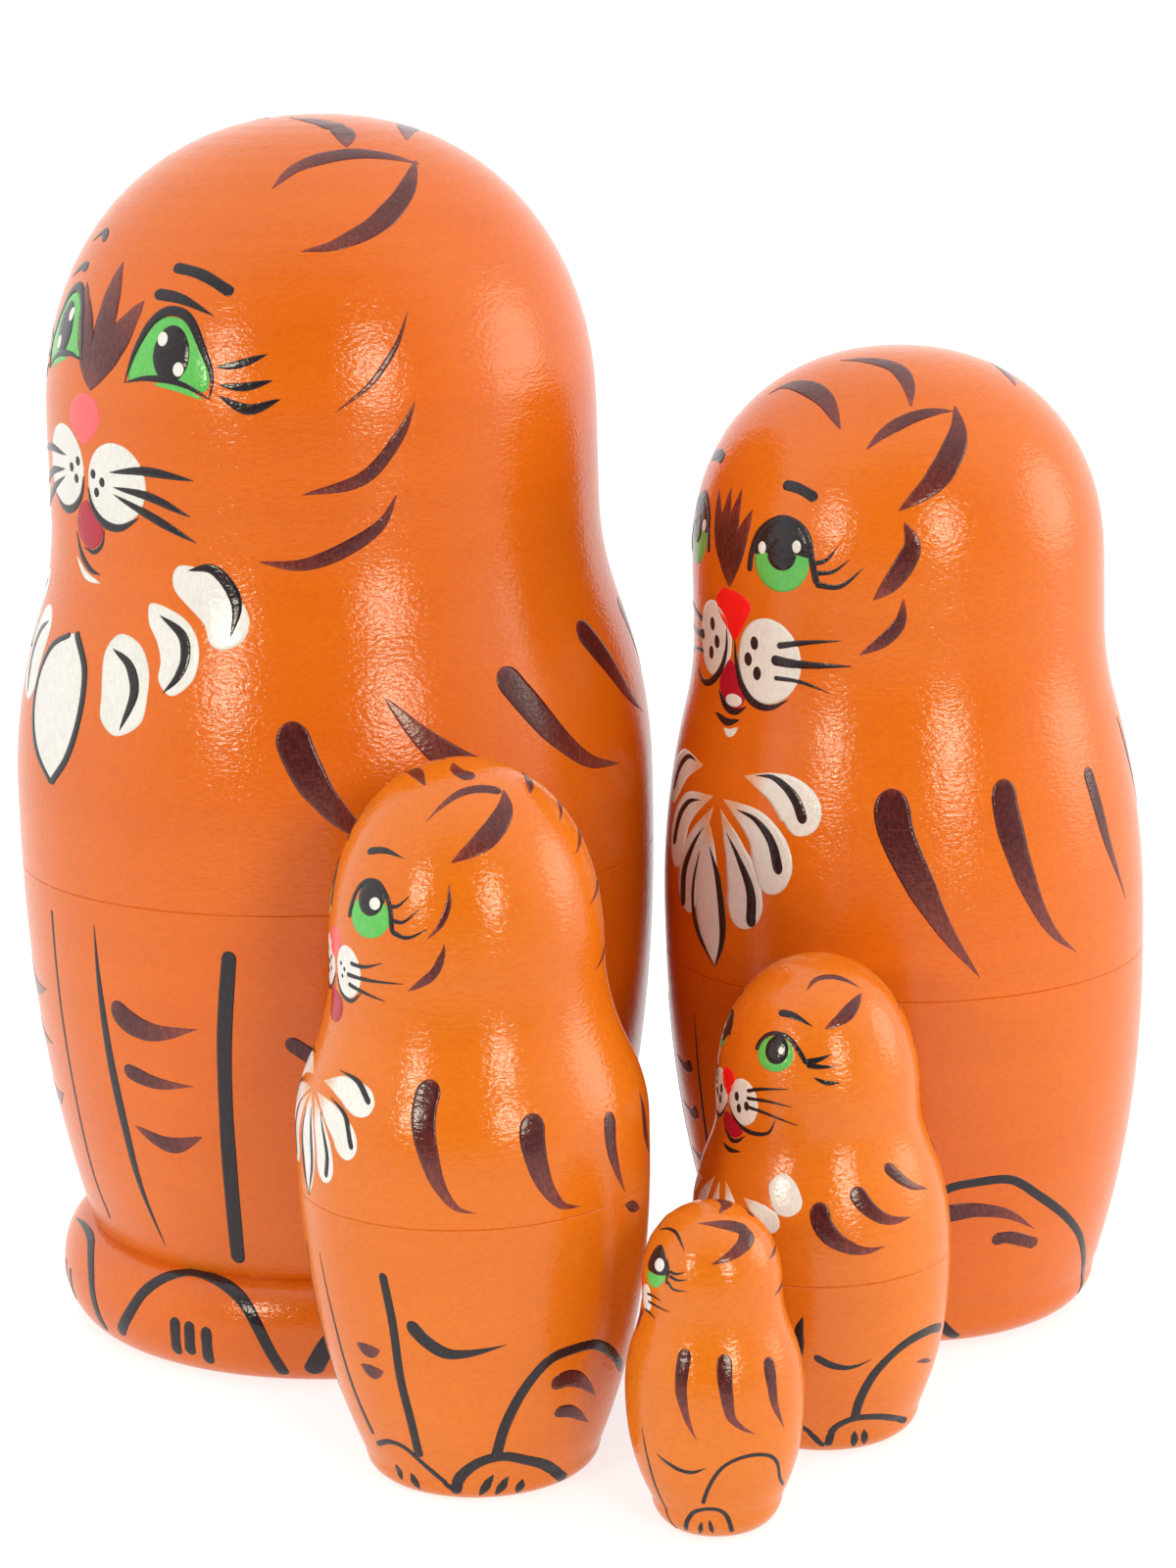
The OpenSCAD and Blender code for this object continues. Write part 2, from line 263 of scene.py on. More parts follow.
def multiply(tree, first, second):
    """The product of two colours; a Mix node's sockets for colours are inputs 6 and 7 and output 2."""
    made = tree.nodes.new("ShaderNodeMix")
    made.data_type = "RGBA"
    made.blend_type = "MULTIPLY"
    made.inputs[0].default_value = 1
    tree.links.new(first, made.inputs[6])
    tree.links.new(second, made.inputs[7])
    return made.outputs[2]


def spread(tree, source, low, high):
    """A value from 0 to 1, moved to another range."""
    made = add_node(tree, "ShaderNodeMapRange", To_Min=low, To_Max=high)
    tree.links.new(source, made.inputs["Value"])
    return made.outputs["Result"]


def bump(tree, source, strength, distance, under=None):
    """A normal tilted by a height, on top of another normal if there is one."""
    made = add_node(tree, "ShaderNodeBump", Strength=strength, Distance=distance)
    tree.links.new(source, made.inputs["Height"])
    if under is not None:
        tree.links.new(under, made.inputs["Normal"])
    return made.outputs["Normal"]


def fresh_material(name, coat):
    """A material whose gloss comes from a clear coat alone."""
    material = bpy.data.materials.new(name)
    material.use_nodes = True
    tree = material.node_tree
    shader = tree.nodes["Principled BSDF"]
    shader.inputs["Specular IOR Level"].default_value = 0.0
    shader.inputs["Coat Weight"].default_value = coat
    shader.inputs["Coat Roughness"].default_value = COAT_ROUGHNESS
    shader.inputs["Coat IOR"].default_value = COAT_IOR
    return material, tree, shader


def surface(tree, shader, colour, roughness, normal, coat_normal=None):
    """Links a shader's colour, roughness and normal, and the coat's own normal if it has one."""
    tree.links.new(colour, shader.inputs["Base Color"])
    tree.links.new(roughness, shader.inputs["Roughness"])
    tree.links.new(normal, shader.inputs["Normal"])
    if coat_normal is not None:
        tree.links.new(coat_normal, shader.inputs["Coat Normal"])


def lacquered_wood(number):
    """Orange stain under clear lacquer, with the fine rings of turning and the pores of the wood."""
    material, tree, shader = fresh_material(f"lacquered_wood_{number}", COAT)
    rings = noise(tree, 14, 2600, 4.0, 0.62)
    pores = noise(tree, PITS_ROUND, PITS_UP, 2.0)
    deep = tuple(share * tone for share, tone in zip(DEEP_TINT, STAIN[number]))
    stain = ramp(tree, noise(tree, 30, 30), deep, STAIN[number])
    bands = ramp(tree, noise(tree, 9, 210, 2.0), (0.97, 0.95, 0.93), NO_TINT, 0.35, 0.65)
    flecks = ramp(tree, pores, (0.95, 0.90, 0.84), NO_TINT, 0.35, 0.6)
    colour = multiply(tree, multiply(tree, stain, bands), flecks)
    grooved = bump(tree, rings, 0.2, 0.12 * MM)
    pitted = bump(tree, pores, 0.9, 0.1 * MM, grooved)
    surface(tree, shader, colour, spread(tree, rings, 0.36, 0.5), grooved, pitted)
    return material


def bare_wood():
    """Pale turned lime wood inside the dolls and under their feet."""
    material, tree, shader = fresh_material("bare_wood", 0.0)
    rings = noise(tree, 12, 1800, 4.0, 0.6)
    grain = ramp(tree, noise(tree, 420, 28, 4.0, 0.6), (0.50, 0.30, 0.145), (0.68, 0.46, 0.25))
    bands = ramp(tree, rings, (0.84, 0.80, 0.76), NO_TINT, 0.35, 0.65)
    normal = bump(tree, rings, 0.35, 0.15 * MM)
    surface(tree, shader, multiply(tree, grain, bands), spread(tree, rings, 0.6, 0.78), normal)
    return material


def paint(name, thin, thick, dry=NO_TINT, full=NO_TINT, full_at=0.8):
    """Brushed paint under the lacquer: streaked by the bristles, and tinted by the load of the brush."""
    material, tree, shader = fresh_material(name, COAT)
    bristles = noise(tree, 2600, 1100)
    streaks = ramp(tree, bristles, thin, thick, 0.28, 0.6)
    pools = ramp(tree, noise(tree, 160, 160, 2.0), (0.96, 0.96, 0.96), NO_TINT, 0.35, 0.6)
    load = tree.nodes.new("ShaderNodeAttribute")
    load.attribute_name = "load"
    tint = ramp(tree, load.outputs["Fac"], dry, full, DRY_AT, full_at)
    colour = multiply(tree, multiply(tree, streaks, pools), tint)
    brushed = bump(tree, bristles, 0.09, 0.1 * MM)
    pitted = bump(tree, noise(tree, PITS_ROUND, PITS_UP, 2.0), 0.6, 0.1 * MM, brushed)
    surface(tree, shader, colour, spread(tree, bristles, 0.34, 0.5), brushed, pitted)
    return material


MATERIALS = {"bare_wood": bare_wood()}
MATERIALS.update((name, paint(name, **look)) for name, look in PAINTS.items())


# Turned bodies

def add_piece(name, mesh, materials):
    """Puts a smooth-shaded mesh in the scene with its materials."""
    mesh.shade_smooth()
    for material in materials:
        mesh.materials.append(material)
    piece = bpy.data.objects.new(name, mesh)
    bpy.context.scene.collection.objects.link(piece)
    return piece


def band(bm, below, above):
    """Faces between two rings; a ring of one point closes in a fan."""
    for k in range(SEGMENTS):
        after = (k + 1) % SEGMENTS
        lower = [below[i % len(below)] for i in (k, after)]
        upper = [above[i % len(above)] for i in (after, k)]
        yield bm.faces.new(list(dict.fromkeys(lower + upper)))


def lathe(name, axis, runs, lacquered, lacquer):
    """A closed turned mesh from the runs of its section, lacquered on some and bare wood on the rest."""
    bm = bmesh.new()
    turns = [math.tau * k / SEGMENTS for k in range(SEGMENTS)]

    def ring(r, z):
        around = turns if r > SAME else turns[:1]
        return [bm.verts.new((axis.x + r * math.cos(t), axis.y + r * math.sin(t), z)) for t in around]

    last = ring(*runs[0][0])
    for index, run in enumerate(runs):
        for row in run[1:]:
            new = ring(*row)
            for face in band(bm, last, new):
                face.material_index = 0 if index in lacquered else 1
            last = new
        if index < len(runs) - 1:
            for a, b in zip(last, last[1:] + last[:1]):
                bm.edges.get((a, b)).smooth = False
    bmesh.ops.recalc_face_normals(bm, faces=bm.faces)
    mesh = bpy.data.meshes.new(name)
    bm.to_mesh(mesh)
    bm.free()
    return add_piece(name, mesh, (lacquer, MATERIALS["bare_wood"]))


# Brush strokes: the share of the full width at shares t of the length, where cap is a round end's share

def round_end(t, cap):
    return np.sqrt(1 - (1 - np.minimum(t / cap, 1)) ** 2)


def leaf(t, cap):
    """Pointed at both ends, with no use for the cap."""
    return np.sin(math.pi * t) ** 0.8


def bar(t, cap):
    """Round at both ends."""
    return round_end(t, cap) * round_end(1 - t, cap)


def drop(t, cap):
    """Round at the start, full for a while, then drawn out to a point."""
    return round_end(t, 1.3 * cap) * (1 - np.clip((t - 0.2) / 0.8, 0, 1) ** 1.5)


def tail(t, cap):
    """Round at the start and thinning all the way."""
    return round_end(t, cap) * (1 - t) ** 0.7


def sides(middle=0, rise=0):
    """The near side as it is drawn, then the far side: mirrored about an angle and raised."""
    return (lambda points: points, lambda points: [(2 * middle - az, z + rise) for az, z in points])


def turned(points, by):
    """The same points at angles further round."""
    return [(az + by, z) for az, z in points]


def grid_faces(long, wide):
    """Faces of a grid of rows and columns, and its border in order."""
    faces = [
        (i * wide + j, i * wide + j + 1, (i + 1) * wide + j + 1, (i + 1) * wide + j)
        for i in range(long - 1)
        for j in range(wide - 1)
    ]
    far_row = (long - 1) * wide
    border = list(range(wide)) + [i * wide + wide - 1 for i in range(1, long)]
    border += [far_row + j for j in range(wide - 2, -1, -1)] + [i * wide for i in range(long - 2, 0, -1)]
    return faces, border


def disc_faces(rings, count):
    """Faces of nested rings of points round one middle point, and the outermost ring."""
    faces = []
    for k in range(rings - 1):
        for i in range(count):
            after = (i + 1) % count
            faces.append((k * count + i, k * count + after, (k + 1) * count + after, (k + 1) * count + i))
    inner = (rings - 1) * count
    faces += [(inner + i, inner + (i + 1) % count, rings * count) for i in range(count)]
    return faces, list(range(count))


# Dolls; angles are degrees from the face, positive towards the camera's right, and heights are millimetres

class Doll:
    """One doll: its axis, its outer outline, its turned halves and the paint that is laid on them."""

    def __init__(self, number):
        self.facing = math.radians(FACING[number])
        names = (f"doll_{number}_bottom", f"doll_{number}_top", f"doll_{number}")
        self.halves = [n for n in names if n in frame["nodes"]]
        mount = next(m for m in frame["record"]["mounts"] if m["name"] == f"doll_{number}_base")
        self.axis = Vector(mount["pos_m"])
        self.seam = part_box(self.halves[-1])[0].z if len(self.halves) == 2 else NO_SEAM
        self.hand = random.Random(number)
        self.lacquer = lacquered_wood(number)
        self.pots = {}
        rows = np.concatenate([self.turn(half) for half in self.halves])
        self.outline = rows[np.argsort(rows[:, 1], kind="stable")]
        way = np.gradient(self.outline, axis=0)
        outward = np.stack([way[:, 1], -way[:, 0]], axis=1)
        self.outward = outward / np.linalg.norm(outward, axis=1)[:, None]

    def turn(self, half):
        """Makes the turned body that stands for one solid, and returns its outside as fine rows."""
        runs = smooth_runs(section(half, self.axis))
        at_seam = [i for i, run in enumerate(runs) if abs(run[-1][1] - self.seam) < SAME]
        shown = runs[:at_seam[0] + 1] if at_seam else runs
        lacquered = [i for i, run in enumerate(shown) if run[:, 1].max() > SAME]
        fine = [fine_run(run, RING_STEP) for run in runs]
        body = lathe(f"{half}_body", self.axis, fine, lacquered, self.lacquer)
        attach(body, half)
        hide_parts(half)
        return np.concatenate([fine_run(runs[i], OUTLINE_STEP) for i in lacquered])

    def spot(self, az, z):
        """The place on the doll at an angle and a height."""
        r = np.interp(z * MM, self.outline[:, 1], self.outline[:, 0])
        a = math.radians(az) + self.facing
        return np.array([r * math.sin(a), -r * math.cos(a), z * MM])

    def nearest(self, points):
        """For points near the doll: directions from the axis, sections and the nearest outline rows."""
        rho = np.maximum(np.hypot(points[:, 0], points[:, 1]), LEAST_RADIUS)
        rows = np.stack([rho, points[:, 2]], axis=1)
        gap = ((rows[:, None, :] - self.outline[None, :, :]) ** 2).sum(axis=2)
        return points[:, :2] / rho[:, None], rows, gap.argmin(axis=1)

    def settle(self, points, lift):
        """Moves points along the doll's surface normal until they stand off it by lift."""
        way, rows, near = self.nearest(points)
        off = ((rows - self.outline[near]) * self.outward[near]).sum(axis=1)
        moved = rows + (lift - off)[:, None] * self.outward[near]
        return np.column_stack([way * moved[:, :1], moved[:, 1]])

    def normals(self, points):
        """The doll's surface normals at points near it."""
        way, _, near = self.nearest(points)
        return np.column_stack([way * self.outward[near][:, :1], self.outward[near][:, 1]])

    def lay(self, colour, top, faces, border, coat, load):
        """Adds a closed skin of paint, its underside just inside the wood, with the load at each point."""
        lift = np.full(len(top), PAINT_LIFT + PAINT_COAT * coat)
        lift[border] = EDGE_LIFT
        upper = self.settle(top, lift)
        lower = self.settle(top, np.full(len(top), -PAINT_SUNK))
        half = self.halves[0] if top[:, 2].mean() < self.seam else self.halves[-1]
        points, skins, loads = self.pots.setdefault((half, colour), ([], [], []))
        base, count = len(points), len(top)
        points.extend(np.concatenate([upper, lower]) + np.array(self.axis))
        loads.extend(np.tile(load, 2))
        skins.extend([base + i for i in face] for face in faces)
        skins.extend([base + count + i for i in reversed(face)] for face in faces)
        for a, b in zip(border, border[1:] + border[:1]):
            skins.append([base + b, base + a, base + count + a, base + count + b])

    def stroke(self, colour, points, width, press=leaf, coat=0):
        """A brush stroke along a curve, with its full width in millimetres."""
        spots = [self.spot(*p) for p in points]
        length = reach_along(spots)[-1]
        rows = STROKE_ROWS + round(length / STROKE_STEP)
        along = (1 - np.cos(np.linspace(0, math.pi, rows))) / 2
        middle = self.settle(curve_through(spots, along), np.zeros(len(along)))
        across = np.cross(self.normals(middle), np.gradient(middle, axis=0))
        across /= np.linalg.norm(across, axis=1)[:, None]
        hand = [self.hand.uniform(*WOBBLE) for _ in range(WOBBLE_POINTS)]
        wobble = np.interp(along, np.linspace(0, 1, WOBBLE_POINTS), hand)
        cap = min(0.5, width * MM / 2 / length)
        share = press(along, cap)
        half = np.maximum(share * wobble * width * MM, LEAST_WIDTH) / 2
        shift = half[:, None, None] * STROKE_COLUMNS[None, :, None] * across[:, None, :]
        top = (middle[:, None, :] + shift).reshape(-1, 3)
        load = np.repeat(share * (1 - DRYING * along), len(STROKE_COLUMNS))
        self.lay(colour, top, *grid_faces(len(along), len(STROKE_COLUMNS)), coat, load)

    def pair(self, colour, points, width, press=leaf, middle=0, rise=0, coat=0):
        """A stroke on the near side and its mirror image on the far side."""
        for side in sides(middle, rise):
            self.stroke(colour, side(points), width, press, coat)

    def patch(self, colour, points, coat=0):
        """A filled shape inside a smooth closed curve."""
        spots = [self.spot(*p) for p in points]
        loop = spots[-2:] + spots + spots[:2]
        reach = reach_along(loop)
        shares = np.linspace(reach[2], reach[-2], PATCH_POINTS, endpoint=False) / reach[-1]
        edge = curve_through(loop, shares)
        middle = edge.mean(axis=0)
        top = np.concatenate([middle + (edge - middle) * s for s in PATCH_RINGS] + [middle[None, :]])
        self.lay(colour, top, *disc_faces(len(PATCH_RINGS), PATCH_POINTS), coat, np.ones(len(top)))

    def oval(self, colour, centre, half_az, half_z, coat=0):
        """A filled oval, with its half width in degrees and its half height in millimetres."""
        turns = [math.tau * k / OVAL_POINTS for k in range(OVAL_POINTS)]
        points = [(centre[0] + half_az * math.cos(t), centre[1] + half_z * math.sin(t)) for t in turns]
        self.patch(colour, points, coat)

    def ovals(self, colour, centres, half_az, half_z, coat=0):
        for centre in centres:
            self.oval(colour, centre, half_az, half_z, coat)

    def finish(self):
        """Makes one piece of each colour on each half."""
        for (half, colour), (points, skins, loads) in self.pots.items():
            name = f"{half}_{colour}"
            mesh = bpy.data.meshes.new(name)
            mesh.from_pydata(points, [], skins)
            mesh.attributes.new("load", "FLOAT", "POINT").data.foreach_set("value", loads)
            bm = bmesh.new()
            bm.from_mesh(mesh)
            bmesh.ops.recalc_face_normals(bm, faces=bm.faces)
            bm.to_mesh(mesh)
            bm.free()
            piece = add_piece(name, mesh, (MATERIALS[colour],))
            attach(piece, half)


# Doll 1

def doll_1_eyes(d):
    for side in sides(5, 2.5):
        d.patch(GREEN, side([
            (13.5, 140.5), (15.5, 144.5), (19, 148), (23, 149), (27.5, 148), (31, 144.5), (33, 141),
            (32, 139), (27.5, 140), (20, 140.5),
        ]))
        d.stroke(GREEN, side([(20, 140), (26, 139.5), (31.5, 138)]), 1)
        d.ovals(DARK, side([(24, 144)]), 4.5, 3.9, 1)
        d.stroke(DARK, side([
            (12.5, 140), (14.5, 144), (18, 148), (22, 149.7), (27, 149), (31, 145), (33.5, 141), (33, 138),
        ]), 1.5, leaf, 1)
        d.stroke(DARK, side([(12.5, 140), (18, 140.7), (24, 140.5), (29, 139.5), (33, 138)]), 1, leaf, 1)
        d.ovals(WHITE, side([(21.7, 146), (26, 142)]), 1.3, 1, 2)
    d.stroke(DARK, [(21, 155.5), (29, 154.5), (37, 152)], 1.6, bar)
    d.stroke(DARK, [(17.5, 152), (25, 151.3), (33.5, 149)], 1.7, drop)
    d.stroke(DARK, [(-9.5, 158.6), (-14, 159.7), (-19, 158.3)], 1.6, drop)
    d.stroke(DARK, [(-12, 154.8), (-16.5, 154.9), (-22, 153.3)], 1.6, drop)
    d.pair(DARK, [(34, 142.3), (39, 142.7), (45, 144)], 1.1, leaf, 5, 2.5)
    d.pair(DARK, [(35, 140), (40, 139.7), (46, 140.5)], 1.2, leaf, 5, 2.5)
    d.pair(DARK, [(35, 138.5), (41, 136.7), (47.5, 138)], 1.5, leaf, 5, 2.5)


def doll_1_muzzle(d):
    for belly, tip in (((-3, 146), (-9, 153)), ((4, 147), (4, 156)), ((9, 145.5), (15, 151))):
        d.stroke(BROWN, [(1.5, 138.5), belly, tip], 4.6)
    d.patch(PINK, [
        (-7, 135), (-4, 137.5), (0, 138), (4, 137), (5, 134.5), (2, 132), (-1, 131), (-5, 132.5),
    ])
    d.patch(CRIMSON, [
        (-4, 122), (-1, 123.2), (0.3, 122.6), (3.2, 120.7), (4.6, 119.3), (3.5, 117.6), (0.5, 116.4),
        (-3, 117), (-5.5, 119.5),
    ])
    d.stroke(DARK, [(5, 119.5), (4, 117.3), (1, 116), (-3, 116.5)], 0.7)
    d.stroke(DARK, [(-6, 118.5), (-4, 115.5), (0, 113.5), (3.5, 113)], 1)
    d.stroke(WHITE, [(-6, 115), (-2, 112.7), (4, 111.8)], 1)
    d.oval(WHITE, (8.8, 125.9), 8.8, 5.7)
    d.oval(WHITE, (-10.8, 127.3), 9.2, 6.1)
    for side in sides(-0.9, 1.5):
        d.ovals(DARK, side([(2, 127), (5, 126), (3, 124.5)]), 0.9, 0.7, 1)
        under = [(-0.2, 125), (1.2, 122.3), (5, 120.3), (10, 119.9), (15.5, 121.5)]
        d.stroke(DARK, side(under), 1.3, leaf, 1)
        for hair in (
            [(7.5, 127.5), (17.5, 128), (29, 127)],
            [(8.5, 125.5), (18.5, 124.5), (28, 122)],
            [(8.5, 124.5), (18, 122), (29, 118.5)],
        ):
            d.stroke(DARK, side(hair), 1.3, leaf, 1)


def doll_1_head(d):
    doll_1_eyes(d)
    doll_1_muzzle(d)
    d.pair(BROWN, [(74.5, 149), (71, 144.5), (65, 139.5), (58, 136)], 0.8)
    d.pair(BROWN, [(74, 137), (70.5, 132.5), (63, 127), (51, 125)], 1.9)
    d.pair(BROWN, [(69.5, 124.5), (66, 120.5), (57.5, 117), (50, 115.5), (42, 116)], 2.1)
    d.pair(BROWN, [(95, 168), (86, 169.1), (73, 169.8), (59, 169.3), (49, 168), (43, 165.5)], 2.8)
    d.pair(BROWN, [(95.5, 168.6), (82, 164.3), (71, 160.5), (60, 158), (52, 157.3)], 3)
    d.pair(BROWN, [(73, 173), (66, 173.8), (50, 174.4), (25, 174.6)], 4.2, tail)
    d.pair(BROWN, [(67, 174), (73, 172.7), (70, 170.6)], 3.4)
    d.pair(BROWN, [(140, 172.8), (122, 172.6), (103, 171.2)], 4, tail)


def doll_1_chest(d):
    d.patch(WHITE, [
        (-3, 104.5), (2, 101.5), (3.8, 96.5), (3.3, 92), (1, 88.5), (-4, 84), (-9.5, 87), (-13.3, 91),
        (-14.6, 95), (-13.7, 99), (-9.5, 102.5),
    ])
    d.stroke(DARK, [(-4, 83.7), (-12, 88.5), (-15, 95), (-12, 101.5), (-4, 104.3)], 1.0, bar, 1)
    d.stroke(DARK, [(-4, 83.7), (1.3, 88), (4, 94), (3.5, 100), (-2, 104.8)], 1.3, bar, 1)
    for side in sides(-3, 1.5):
        d.patch(WHITE, side([
            (8.5, 103), (9.5, 97), (10, 94), (14, 92), (19.5, 94), (20.5, 97.5), (20, 101.5), (17, 104.5),
            (11.5, 105.5),
        ]))
        d.patch(WHITE, side([
            (18.5, 110), (26, 108.5), (29.5, 106), (30.5, 103), (29.5, 100), (25.5, 98), (22.5, 100),
            (22.5, 102.5), (21, 105), (18.5, 107.5),
        ]))
        d.patch(WHITE, side([
            (23.5, 114), (25, 115.3), (30, 115), (34.5, 114), (37, 112), (40, 108.5), (39, 105.5),
            (35, 104.3), (32.5, 105), (31, 107.5), (27, 110), (24, 112),
        ]))
        for fold, width in (
            ([(10.5, 103.5), (15.5, 101.5), (17.5, 98), (15, 92.8)], 1.8),
            ([(21, 108.5), (26.5, 106), (27.7, 103), (26.5, 100.5), (23.8, 98.3)], 1.7),
            ([(27, 114.7), (32, 115), (35.5, 113), (37.5, 110), (36.5, 106)], 1.9),
        ):
            d.stroke(DARK, side(fold), width, leaf, 1)


def doll_1_body(d):
    doll_1_chest(d)
    d.pair(BROWN, [(47.5, 95), (49, 91), (52.5, 85.5), (58, 80.5), (64, 77.5)], 5, drop)
    d.pair(BROWN, [(84, 84), (77, 87.5), (70.5, 92), (64.5, 97.5)], 6, tail)
    d.pair(BROWN, [(87, 99.7), (91, 95.5), (97.5, 89.5), (105, 85), (115, 83)], 4.2, drop)
    d.pair(BROWN, [(109.5, 103.5), (116, 98), (123, 92), (131, 88)], 4, drop)
    d.pair(BROWN, [(135, 104), (141, 97), (148, 91), (157, 88)], 3.6, drop)
    d.stroke(DARK, [(-6, 18.5), (-8, 25), (-7.5, 37), (-7, 53.5), (-6.5, 65)], 0.6, bar)
    d.stroke(DARK, [(13, 17.5), (10, 26.5), (9, 35.5), (8, 46), (7.5, 57), (7.5, 65)], 1.7)
    d.pair(DARK, [(36, 63.5), (34, 51), (33, 40.5), (32, 27), (31, 16.7)], 2.2, bar)
    for turn in (0, -43):
        d.stroke(BROWN, turned([(10.5, 54), (14, 51.8), (20, 50.8), (29, 52)], turn), 3.6, drop)
        d.stroke(BROWN, turned([(11.5, 44.5), (19, 43.3), (27, 43.5)], turn), 2.4, drop)
        d.stroke(BROWN, turned([(12, 36), (18.5, 34.2), (22, 34.3), (27.5, 36)], turn), 2.4)
    d.pair(BROWN, [(45, 51), (53, 47), (63, 46), (78, 48)], 2.2, drop)
    d.stroke(DARK, [(-4, 2.5), (-5.5, 7), (-8, 11), (-14, 13.6), (-22, 14), (-33, 13)], 2, drop)
    d.stroke(DARK, [
        (2.5, 3.5), (7.5, 8), (11, 11.5), (15.5, 13.8), (20, 14.4), (26.5, 14.2), (33, 12.5), (36.5, 9.3),
        (39.5, 4.5), (41, 1.6),
    ], 1.8, bar)
    claws = (-26, 8.5, 3.5), (-20, 8.5, 3.5), (19.2, 8.9, 3.1), (22.5, 8.7, 3.5), (26.2, 8.3, 2.4)
    for az, high, low in claws:
        d.stroke(DARK, [(az, high), (az - 0.2, (high + low) / 2), (az - 0.7, low)], 1.8, bar)
    d.pair(DARK, [(46, 2), (50, 7), (56, 11), (64, 13), (74, 12), (82, 8), (86, 3)], 2.8, tail)
    d.pair(DARK, [(68, 17), (76, 30), (88, 40), (102, 44), (118, 40), (126, 30), (128, 20)], 1.8, bar)
    d.pair(BROWN, [(90, 33), (99, 34), (110, 31)], 3, drop)
    d.pair(BROWN, [(92, 25), (100, 25.5), (109, 23)], 2.4, drop)


# Doll 2

def doll_2_eyes(d):
    for side in sides(-2.5, 1.5):
        d.ovals(GREEN, side([(18.5, 112.8)]), 8.8, 4.2)
        d.patch(DARK, side([
            (9.5, 113.6), (10.5, 116), (13.5, 118), (18.5, 118.7), (23.5, 118), (26.5, 116), (27.5, 113.6),
            (23.5, 113.8), (18.5, 113.4), (13.5, 113.8),
        ]), 1)
        d.ovals(DARK, side([(18.8, 113.8)]), 4.8, 2.3, 1)
        d.stroke(DARK, side([
            (7.5, 111), (8.5, 114), (10.5, 116.5), (14, 118), (18.5, 118.7), (23.5, 118), (26.5, 116.5),
            (28, 113.5), (29.5, 110),
        ]), 1, bar, 1)
        d.ovals(WHITE, side([(12.2, 114.5), (23.5, 115)]), 1.4, 0.9, 2)
        d.stroke(DARK, side([(28, 112.8), (32, 113.3), (35.5, 115.2)]), 0.8, tail)
        d.stroke(DARK, side([(28.5, 111.5), (34, 111.8), (39, 113.6)]), 0.8, tail)
        d.stroke(DARK, side([(29, 110), (36, 109.8), (42.5, 112.4)]), 1, tail)
    d.stroke(DARK, [(16.5, 123.2), (22, 122.8), (28.5, 121.5)], 1.5, bar)
    d.stroke(DARK, [(-32, 125), (-24, 125.6), (-17, 125.2)], 1.8, bar)


def doll_2_muzzle(d):
    for belly, tip in (
        ((-7, 115.5), (-12, 121.5)),
        ((-4, 116), (-5, 122)),
        ((-0.5, 116), (0.5, 122)),
        ((3.5, 115), (7, 119.5)),
    ):
        d.stroke(BROWN, [(-1, 108.3), belly, tip], 2.8)
    d.patch(RED, [
        (-8, 106.5), (-4.5, 108), (-1, 108), (4.5, 107.5), (8, 106), (5, 103.5), (1, 101), (-3, 102.5),
        (-7, 104.5),
    ])
    d.patch(CRIMSON, [(-2, 98), (4, 96), (6, 93), (3, 91.3), (-3, 92.5), (-6, 94.5)])
    d.oval(WHITE, (1.5, 92.5), 3.6, 0.9, 1)
    d.oval(WHITE, (13.5, 98.7), 11, 6)
    d.oval(WHITE, (-10, 100.5), 9.5, 5.4)
    for side in sides(-0.8, 1.5):
        d.ovals(DARK, side([(9, 101), (6.5, 98.6), (10, 96.8)]), 1.5, 1, 1)
        under = [(1, 101), (1.5, 98), (4, 95), (9, 92.8), (15, 92.3), (21, 93.7)]
        d.stroke(DARK, side(under), 1.2, leaf, 1)
        d.stroke(DARK, side([(17, 101), (26, 101.8), (36, 102.3)]), 1.1, tail, 1)
        d.stroke(DARK, side([(15, 99), (23, 98.7), (39, 98.8)]), 1.7, tail, 1)
        d.stroke(DARK, side([(16, 96.5), (24, 96.3), (33, 95)]), 0.8, tail, 1)
    d.stroke(DARK, [(-6, 93.5), (-2, 91.6), (3, 91), (7, 92)], 1.1)
    d.stroke(DARK, [(-6, 90.3), (0, 89.4), (5, 90)], 1.1)
    d.stroke(WHITE, [(-1, 88.5), (2, 88), (5, 89)], 1.2)


def doll_2_head(d):
    doll_2_eyes(d)
    doll_2_muzzle(d)
    d.pair(BROWN, [(53.5, 118.6), (55.5, 115.5), (53.5, 113), (50, 110.5), (45, 108)], 3)
    d.pair(BROWN, [(53, 108.2), (52, 105), (48, 102.6), (41, 100.4)], 1.8)
    d.pair(BROWN, [(74.5, 132.5), (68, 132.6), (58, 132), (48, 130.2), (42, 128)], 2.1, leaf)
    d.pair(BROWN, [(76, 133.2), (73.5, 130), (68.5, 126.8), (62, 123.5), (52, 120)], 3.5)
    d.stroke(BROWN, [(-20, 134), (-14, 135.3), (5, 135.4), (21, 134), (32, 130.5)], 2.9)
    d.stroke(BROWN, [(1, 138.6), (26, 138.8), (52, 138), (58, 136.2), (58, 133.3)], 2.6)
    d.pair(BROWN, [(153, 137.2), (136, 136.2), (121, 134.5)], 2)


